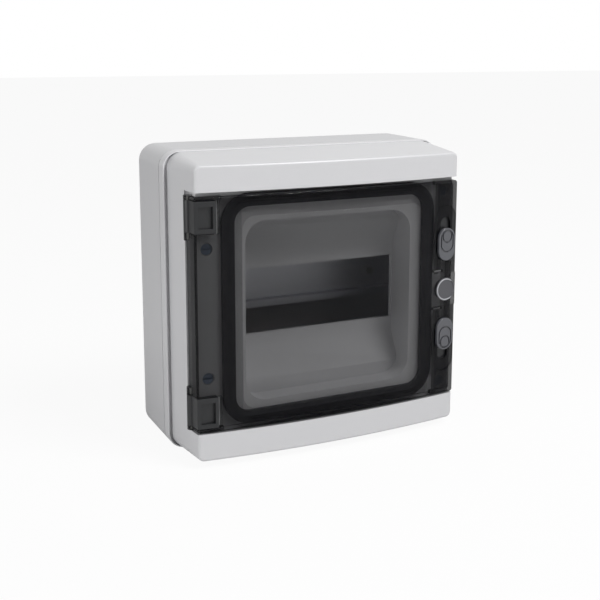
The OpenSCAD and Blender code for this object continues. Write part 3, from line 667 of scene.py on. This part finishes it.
PLUG_R = 8
RIM_R = 8.5
RIM_FRONT = 1.1
BEAD_R = 7.6
BEAD_HALF = 0.5
blank = add_rod("lock_blank_plug", PLUG_R, (-DOOR_T + 0.3, 0.3), (0, 0), sides=64)
combine(blank, add_rod("blank rim", RIM_R, (0.55, RIM_FRONT), (0, 0), sides=64), "UNION")
bpy.ops.mesh.primitive_torus_add(
    major_radius=BEAD_R * MM, minor_radius=BEAD_HALF * MM, major_segments=64, minor_segments=12,
    location=(0, -RIM_FRONT * MM, 0), rotation=(math.pi / 2, 0, 0))
bead = bpy.context.object
fix_place()
combine(blank, bead, "UNION")
set_on_door(blank, 0)
blank_grey = new_material("grey moulded polycarbonate", "#4c4c50", 0.3)
finish_piece(blank, blank_grey, "door", "latch_plastic", "lock_blank")
# The bead's front faces take a light grey: a painted highlight round the plug.
blank.data.materials.append(new_material("grey polycarbonate with painted highlight on its bead", "#a6a7ab", 0.12, IOR=1.58))
for face in blank.data.polygons:
    from_middle = math.hypot(face.center.x / MM - LATCH_X, face.center.z / MM - DOOR_MID)
    if BEAD_R - 0.7 < from_middle < BEAD_R + 0.6 and face.center.y < -(LATCH_FACE + 1.0) * MM:
        face.material_index = 1

# ---- Pieces that stay as the frame has them ----
# Rubber, zinc-plated steel, brass and coloured polyamide pieces inside the box.

finishes = {
    "black cellular rubber": (("#2c2c30", 0.8), ["base_gasket", "door_seal", "cover_screw_washers"]),
    "zinc-plated steel": (("#b9b9b6", 0.35), [
        "hinge_pin_upper", "hinge_pin_lower", "rail_screws", "holder_screws", "terminal_screws_upper",
        "terminal_screws_lower"]),
    "zinc-plated rolled steel": (("#c9cacf", 0.45), ["din_rail"]),
    "machined brass": (("#c9a55a", 0.3), ["terminal_bar_upper", "terminal_bar_lower", "cover_screw_inserts"]),
    "blue moulded polyamide": (("#3766a0", 0.5), ["terminal_holder_upper"]),
    "green moulded polyamide": (("#3f7d4b", 0.5), ["terminal_holder_lower"]),
    "blue-grey moulded polyamide": (("#7e8da4", 0.4), ["cover_screws"]),
    "black polyamide hook": (("#1c1d1f", 0.35), ["latch_hook_upper", "latch_hook_lower"]),
}
for name, ((colour, rough), nodes) in finishes.items():
    metal = 1.0 if ("steel" in name or "brass" in name) else 0.0
    finish = new_material(name, colour, rough, Metallic=metal)
    for node in nodes:
        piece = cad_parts[node]
        piece.data.materials.clear()
        piece.data.materials.append(finish)

# ---- Camera, light and ground ----
# The box hangs in front of a white backdrop. One large soft light is above and to the right of
# it, and a second, weaker one fills from the left.

AZ = math.radians(-26.92)
EL = math.radians(10.32)
ROLL = math.radians(0.41)
back = Vector((math.sin(AZ) * math.cos(EL), -math.cos(AZ) * math.cos(EL), math.sin(EL)))
right = (-back).cross(Vector((0, 0, 1))).normalized()
up = right.cross(-back)
right_rolled = right * math.cos(ROLL) + up * math.sin(ROLL)
up_rolled = up * math.cos(ROLL) - right * math.sin(ROLL)
camera_data = bpy.data.cameras.new("camera")
camera_data.lens = 62.81
camera_data.sensor_width = 36
camera_data.shift_x = -0.0606
camera_data.shift_y = -0.1281
camera = bpy.data.objects.new("camera", camera_data)
bpy.context.scene.collection.objects.link(camera)
place = Vector((-0.31738, -0.72753, 0.18367))
rows = [(right_rolled[i], up_rolled[i], back[i], place[i]) for i in range(3)]
camera.matrix_world = Matrix(rows + [(0, 0, 0, 1)])
bpy.context.scene.camera = camera


def add_softbox(name, place, target, width, height, watts):
    """A rectangular area lamp that points at a target."""
    lamp = bpy.data.lights.new(name, "AREA")
    lamp.shape = "RECTANGLE"
    lamp.size = width
    lamp.size_y = height
    lamp.energy = watts
    softbox = bpy.data.objects.new(name, lamp)
    bpy.context.scene.collection.objects.link(softbox)
    softbox.location = place
    softbox.rotation_euler = (Vector(target) - Vector(place)).to_track_quat("-Z", "Y").to_euler()
    return softbox


add_softbox("key", (0.5, -0.9, 1.2), (0, -0.05, 0), 0.6, 0.6, 20.5)
add_softbox("fill", (-1.3, -0.5, 0.3), (0, -0.05, 0), 0.8, 0.8, 7)

bpy.ops.object.select_all(action="DESELECT")
bpy.ops.mesh.primitive_plane_add(size=12, location=(0, 0, -BOX_H / 2 * MM - 0.0005))
ground = bpy.context.object
ground.name = "floor"
pale_floor = bpy.data.materials.new("matt white paper")
pale_floor.use_nodes = True
paper = pale_floor.node_tree.nodes["Principled BSDF"]
paper.inputs["Base Color"].default_value = (0.8, 0.8, 0.8, 1)
paper.inputs["Roughness"].default_value = 0.9
ray = add_node(pale_floor, "ShaderNodeLightPath")
glow = add_node(pale_floor, "ShaderNodeEmission", inputs={"Color": (1, 1, 1, 1), "Strength": 1.0})
share = add_node(pale_floor, "ShaderNodeMath", {"operation": "MULTIPLY"}, {1: 0.93},
                 {0: ray.outputs["Is Camera Ray"]})
blend = add_node(pale_floor, "ShaderNodeMixShader",
                 links={0: share.outputs[0], 1: paper.outputs[0], 2: glow.outputs[0]})
surface = pale_floor.node_tree.nodes["Material Output"].inputs["Surface"]
pale_floor.node_tree.links.new(blend.outputs[0], surface)
ground.data.materials.append(pale_floor)

world = bpy.data.worlds.new("white room")
bpy.context.scene.world = world
world.use_nodes = True
world.node_tree.nodes.clear()
path = add_node(world, "ShaderNodeLightPath")
through = add_node(world, "ShaderNodeMath", {"operation": "MAXIMUM"},
                   links={0: path.outputs["Is Glossy Ray"], 1: path.outputs["Is Transmission Ray"]})
seen = add_node(world, "ShaderNodeMath", {"operation": "MAXIMUM"},
                links={0: path.outputs["Is Camera Ray"], 1: through.outputs[0]})
plain = add_node(world, "ShaderNodeBackground", inputs={"Color": (0.2, 0.2, 0.2, 1)})
white = add_node(world, "ShaderNodeBackground", inputs={"Color": (1, 1, 1, 1)})
choose = add_node(world, "ShaderNodeMixShader",
                  links={0: seen.outputs[0], 1: plain.outputs[0], 2: white.outputs[0]})
add_node(world, "ShaderNodeOutputWorld", links={"Surface": choose.outputs[0]})
bpy.context.scene.view_settings.view_transform = "Standard"
